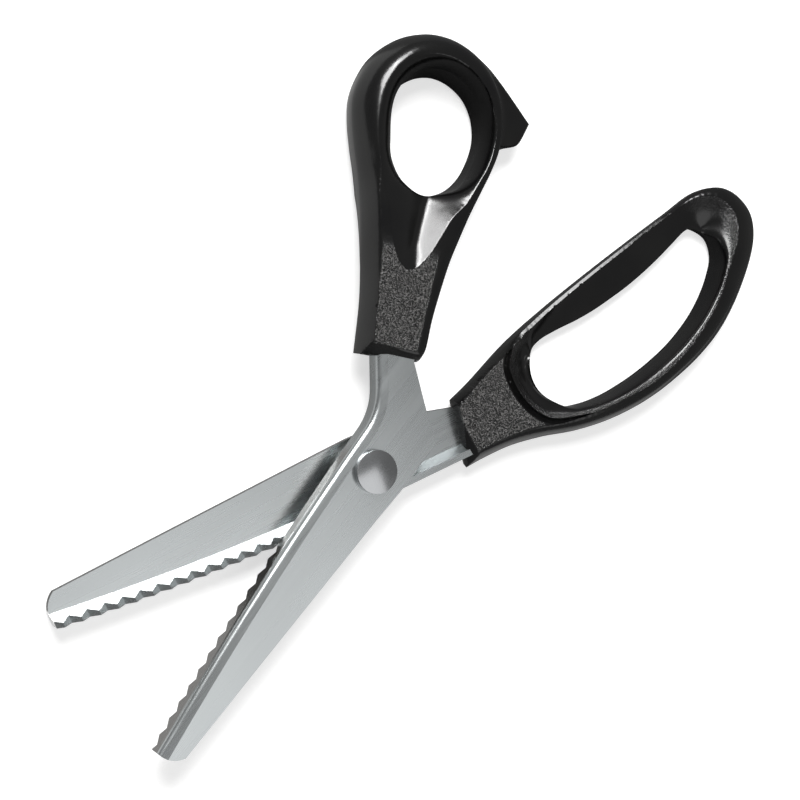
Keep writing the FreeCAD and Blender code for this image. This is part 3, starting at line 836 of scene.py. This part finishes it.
def turned_metal(name, tone, rough, ring_scale=700.0):
    """Metal with fine rings round the pivot axis."""
    f = Finish(name)
    f.put(Metallic=1.0)
    at = f.place()
    rings = f.node("ShaderNodeTexWave", wave_type="RINGS", rings_direction="Z")
    rings.inputs["Scale"].default_value = ring_scale
    rings.inputs["Distortion"].default_value = 1.2
    rings.inputs["Detail"].default_value = 2.0
    f.link(at, rings.inputs["Vector"])
    cloud = f.noise(at, 180.0, 3.0, 0.55)
    f.drive("Base Color", f.blend(f.span(cloud, 0.3, 0.7), tuple(c * 0.93 for c in tone), tone))
    f.drive("Roughness", f.span(cloud, 0.3, 0.7, rough - 0.03, rough + 0.04))
    f.drive("Normal", f.bump(rings.outputs["Fac"], 0.08, 0.00001))
    return f.material


def washer_nylon():
    f = Finish("nylon")
    f.put(Roughness=0.45, IOR=1.53)
    cloud = f.noise(f.place(), 900.0)
    f.drive("Base Color", f.blend(cloud, (0.74, 0.72, 0.66), (0.80, 0.78, 0.73)))
    f.drive("Normal", f.bump(cloud, 0.2, 0.00003))
    return f.material


def stage_paper():
    """Pale paper, with painted shade in reflections: a dark patch under the handles shows in
    polished surfaces only.
    """
    f = Finish("stage_paper")
    f.put(Roughness=0.8, Emission_Color=(1, 1, 1, 1))
    path = f.node("ShaderNodeLightPath").outputs
    f.drive("Emission Strength", f.math("MULTIPLY", path["Is Camera Ray"], PAPER_GLOW))
    paper = f.blend(f.noise(f.place(), 6.0), (0.56, 0.56, 0.555), (0.58, 0.58, 0.575))
    at = f.split(f.node("ShaderNodeTexCoord").outputs["Object"])

    def reach(axis, start, end):
        """0 before start and 1 beyond end, measured along the axis from the camera's aim."""
        along_x = f.math("MULTIPLY", at["X"], axis.x)
        along_y = f.math("MULTIPLY", at["Y"], axis.y)
        middle = CAMERA_AIM.dot(axis)
        return f.span(f.math("ADD", along_x, along_y), middle + start, middle + end)

    beyond = reach(VIEW_UP, *REFLECTED_SHADE_BEYOND)
    beside = f.math("MULTIPLY", reach(VIEW_RIGHT, *REFLECTED_SHADE_BESIDE), 1 - REFLECTED_SHADE_ELSEWHERE)
    beside = f.math("ADD", beside, REFLECTED_SHADE_ELSEWHERE)
    # painted shade: glossy rays see the dark patch, while camera and diffuse rays see the pale
    # paper
    reflected_shade = f.math("MULTIPLY", f.math("MULTIPLY", beyond, beside), path["Is Glossy Ray"])
    f.drive("Base Color", f.blend(reflected_shade, paper, REFLECTED_SHADE_TONE))
    return f.material


plastic = moulded_plastic()
FINISHES = {
    # flange tones are painted light: painted shade on the thumb blade, a painted highlight on the
    # finger blade
    "thumb_blade": brushed_steel("thumb_blade_steel", HALF_OPEN, (0.20, 0.195, 0.19), 0.40, -1.0),
    "finger_blade": brushed_steel("finger_blade_steel", -HALF_OPEN, (0.97, 0.97, 0.97), 0.75, 1.0),
    "pivot_cap": turned_metal("bright_chrome", (0.46, 0.47, 0.48), 0.22, 900.0),
    "pivot_bolt": turned_metal("bolt_steel", (0.50, 0.50, 0.50), 0.30),
    "pivot_nut": turned_metal("nut_steel", (0.52, 0.52, 0.52), 0.28),
    "spring_washer": turned_metal("washer_steel", (0.42, 0.42, 0.43), 0.35),
    "pivot_bush": turned_metal("bush_brass", (0.62, 0.45, 0.20), 0.30),
    "thumb_spacer": turned_metal("spacer_steel", (0.50, 0.50, 0.50), 0.38, 500.0),
    "finger_spacer": turned_metal("spacer_steel_far", (0.50, 0.50, 0.50), 0.38, 500.0),
    "thrust_washer": washer_nylon(),
    "thumb_handle": plastic,
    "finger_handle": plastic,
}

stage_floor.data.materials.append(stage_paper())
for name, node in NODES.items():
    node.data.materials.clear()
    node.data.materials.append(FINISHES[name])
for shell in (thumb_handle, finger_handle):
    shell.data.materials.append(plastic)
